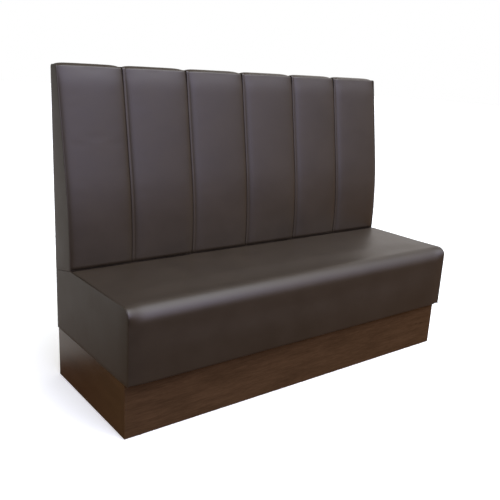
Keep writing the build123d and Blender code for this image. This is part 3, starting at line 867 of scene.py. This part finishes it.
class BOOTH_OT_frame_finishes(bpy.types.Operator):
    """Gives the plinth, the frame and the fixings their finishes."""
    bl_idname = "booth.frame_finishes"
    bl_label = "Frame finishes"

    def execute(self, context):
        finish = context.scene.booth_finish
        made = {
            "plinth_front_board": laminate_finish(finish, "laminate_front", axis=0),
            "plinth_end": laminate_finish(finish, "laminate_end", axis=1),
            "plinth_edge": laminate_finish(finish, "laminate_edge", axis=2),
            "softwood": board_finish(
                "pine_batten", dark=(0.50, 0.33, 0.16), light=(0.72, 0.53, 0.31), stretch=(2, 40, 40),
                figure_scale=1.5, pore_scale=500.0, rough=0.65),
            "plywood": board_finish(
                "birch_ply", dark=(0.52, 0.38, 0.22), light=(0.74, 0.60, 0.42), stretch=(3, 25, 25),
                figure_scale=1.2, pore_scale=700.0, rough=0.6),
            "hardboard": board_finish(
                "brown_hardboard", dark=(0.14, 0.08, 0.045), light=(0.22, 0.14, 0.08), stretch=(1, 1, 1),
                figure_scale=60.0, pore_scale=900.0, rough=0.55),
            "zinc_steel": steel_finish(),
            "glide_nylon": board_finish(
                "glide_plastic", dark=(0.55, 0.54, 0.50), light=(0.66, 0.65, 0.61), stretch=(1, 1, 1),
                figure_scale=120.0, pore_scale=1200.0, rough=0.4),
        }
        slots = {entry["node"]: entry["material_slot"] for entry in frame["record"]["subparts"]}
        for node, piece in frame["nodes"].items():
            if piece.hide_render:
                continue
            key = next((start for start in made if node.startswith(start)), slots[node])
            for slot in piece.material_slots:
                slot.material = made[key]
        return {"FINISHED"}


class BOOTH_OT_stage(bpy.types.Operator):
    """Sets up the plain floor, the soft light and the camera."""
    bl_idname = "booth.stage"
    bl_label = "Stage"

    def execute(self, context):
        scene = context.scene
        scene.view_settings.view_transform = "Standard"
        self.floor(scene)
        self.sky(scene)
        self.ceiling_light(scene)
        self.camera(scene)
        return {"FINISHED"}

    def floor(self, scene):
        """A plain floor that glows a little and doesn't show in reflections."""
        bm = bmesh.new()
        bmesh.ops.create_grid(bm, x_segments=1, y_segments=1, size=scene.booth_stage.floor_side / 2)
        mesh = bpy.data.meshes.new("floor")
        bm.to_mesh(mesh)
        bm.free()
        floor = bpy.data.objects.new("floor", mesh)
        scene.collection.objects.link(floor)
        paint, nodes = new_finish("floor_paint")
        cloud = nodes.noise(nodes.place(), scale=0.8, detail=2.0)
        nodes.surface({
            "Base Color": nodes.tone(cloud, scene.booth_stage.floor_colour, 0.99, 1.0),
            "Roughness": 0.8,
            "Specular IOR Level": 0.2,
            "Emission Color": (1, 1, 1, 1),
            "Emission Strength": scene.booth_stage.floor_glow,
        })
        mesh.materials.append(paint)
        floor.visible_glossy = False
        floor.visible_diffuse = False

    def sky(self, scene):
        """Soft light all round with three broad glows, which is plain white to the camera."""
        scene.world = bpy.data.worlds.new("studio")
        nodes = Nodes(scene.world)
        here = nodes.add("ShaderNodeTexCoord").outputs["Generated"]
        parts = nodes.add("ShaderNodeSeparateXYZ", {0: here}).outputs
        across, behind, up = parts["X"], parts["Y"], parts["Z"]
        front = self.front_light(nodes, across, up)
        rear = self.rear_light(nodes, across, up)
        colour = nodes.mix("MIX", nodes.fit(behind, -0.15, 0.25), front, rear)
        for way, dim, bright, light in GLOWS:
            near = nodes.add("ShaderNodeVectorMath", {0: here, 1: way}, operation="DOT_PRODUCT")
            share = nodes.fit(near.outputs["Value"], dim, bright, kind="SMOOTHSTEP")
            colour = nodes.mix("ADD", 1.0, colour, nodes.blend(share, (0, 0, 0), light))
        lit = nodes.add("ShaderNodeBackground", {"Color": colour, "Strength": 1.0})
        seen = nodes.add("ShaderNodeBackground", {"Color": (1, 1, 1, 1), "Strength": 1.0})
        ray = nodes.add("ShaderNodeLightPath").outputs["Is Camera Ray"]
        both = nodes.add("ShaderNodeMixShader", {0: ray, 1: lit.outputs[0], 2: seen.outputs[0]})
        nodes.add("ShaderNodeOutputWorld", {"Surface": both.outputs[0]})

    def front_light(self, nodes, across, up):
        """The light from the front: dark brown below, and grey to pale in two steps above."""
        brown = nodes.blend(nodes.fit(across, 0.3, 0.88), (0.034, 0.009, 0.0), (0.19, 0.080, 0.016))
        grey = nodes.mix("MIX", nodes.fit(up, -0.06, 0.21), brown, (0.55, 0.49, 0.49, 1))
        return nodes.mix("MIX", nodes.fit(up, 0.17, 0.36), grey, (0.74, 0.69, 0.76, 1))

    def rear_light(self, nodes, across, up):
        """The light from behind: brown far down, pale over a slanting edge, dim above."""
        brown = nodes.blend(nodes.fit(across, -0.43, -0.34), (0.30, 0.162, 0.068), (0.10, 0.040, 0.020))
        slant = nodes.sum(up, across, 0.6)
        pale = nodes.blend(nodes.fit(slant, -0.667, -0.557), (0.32, 0.28, 0.25), (0.77, 0.73, 0.70))
        rear = nodes.mix("MIX", nodes.fit(up, -0.431, -0.417), brown, pale)
        dim = nodes.blend(nodes.fit(up, -0.10, 0.20), (1, 1, 1), (0.3, 0.3, 0.3))
        return nodes.mix("MULTIPLY", 1.0, rear, dim)

    def ceiling_light(self, scene):
        """A soft rectangular light overhead, aimed at the seat."""
        data = bpy.data.lights.new("ceiling", "AREA")
        data.shape = "RECTANGLE"
        data.size = 2.6
        data.size_y = 1.6
        data.energy = scene.booth_stage.ceiling_light
        data.color = (0.93, 0.96, 1.0)
        place = Vector((0.6, -0.6, 3.0))
        aim = Vector((0.2, 0.1, 0.4)) - place
        lamp = bpy.data.objects.new("ceiling", data)
        lamp.matrix_world = Matrix.Translation(place) @ aim.to_track_quat("-Z", "Y").to_matrix().to_4x4()
        scene.collection.objects.link(lamp)

    def camera(self, scene):
        """The camera at the viewing angle of the photo."""
        data = bpy.data.cameras.new("photo_view")
        data.sensor_width = 36.0
        data.lens = scene.booth_stage.lens
        camera = bpy.data.objects.new("photo_view", data)
        place = Vector((-1.5825, -1.8868, 1.1503))
        yaw, pitch, roll = 0.6657, -0.2723, 0.0562
        ahead = Vector((math.sin(yaw) * math.cos(pitch), math.cos(yaw) * math.cos(pitch), math.sin(pitch)))
        level = Vector((math.cos(yaw), -math.sin(yaw), 0))
        above = level.cross(ahead)
        right = level * math.cos(roll) + above * math.sin(roll)
        top = above * math.cos(roll) - level * math.sin(roll)
        camera.matrix_world = Matrix.Translation(place) @ Matrix((right, top, -ahead)).transposed().to_4x4()
        scene.collection.objects.link(camera)
        scene.camera = camera


class BOOTH_PT_panel(bpy.types.Panel):
    """Lists the pieces of the bench, their sizes and their finishes."""
    bl_idname = "BOOTH_PT_panel"
    bl_label = "Booth bench"
    bl_space_type = "VIEW_3D"
    bl_region_type = "UI"
    bl_category = "Booth bench"

    def draw(self, context):
        for operator in OPERATORS:
            self.layout.operator(operator.bl_idname)
        for group in GROUPS:
            holder = getattr(context.scene, group)
            box = self.layout.box()
            for key in holder.bl_rna.properties.keys():
                if key not in ("rna_type", "name"):
                    box.prop(holder, key)


GROUPS = {"booth_sizes": BoothSizes, "booth_finish": BoothFinish, "booth_stage": BoothStage}
OPERATORS = (
    BOOTH_OT_seat_cover, BOOTH_OT_back_channels, BOOTH_OT_back_welts, BOOTH_OT_side_covers,
    BOOTH_OT_outside_cover, BOOTH_OT_fillings, BOOTH_OT_frame_finishes, BOOTH_OT_stage,
)


def register():
    for group in (*GROUPS.values(), *OPERATORS, BOOTH_PT_panel):
        bpy.utils.register_class(group)
    for name, group in GROUPS.items():
        setattr(bpy.types.Scene, name, bpy.props.PointerProperty(type=group))


def unregister():
    for name in GROUPS:
        delattr(bpy.types.Scene, name)
    for group in (BOOTH_PT_panel, *reversed(OPERATORS), *GROUPS.values()):
        bpy.utils.unregister_class(group)


def main():
    """Makes every piece and the stage."""
    register()
    bpy.ops.booth.seat_cover()
    bpy.ops.booth.back_channels()
    bpy.ops.booth.back_welts()
    bpy.ops.booth.side_covers()
    bpy.ops.booth.outside_cover()
    bpy.ops.booth.fillings()
    bpy.ops.booth.frame_finishes()
    bpy.ops.booth.stage()


if __name__ == "__main__":
    main()
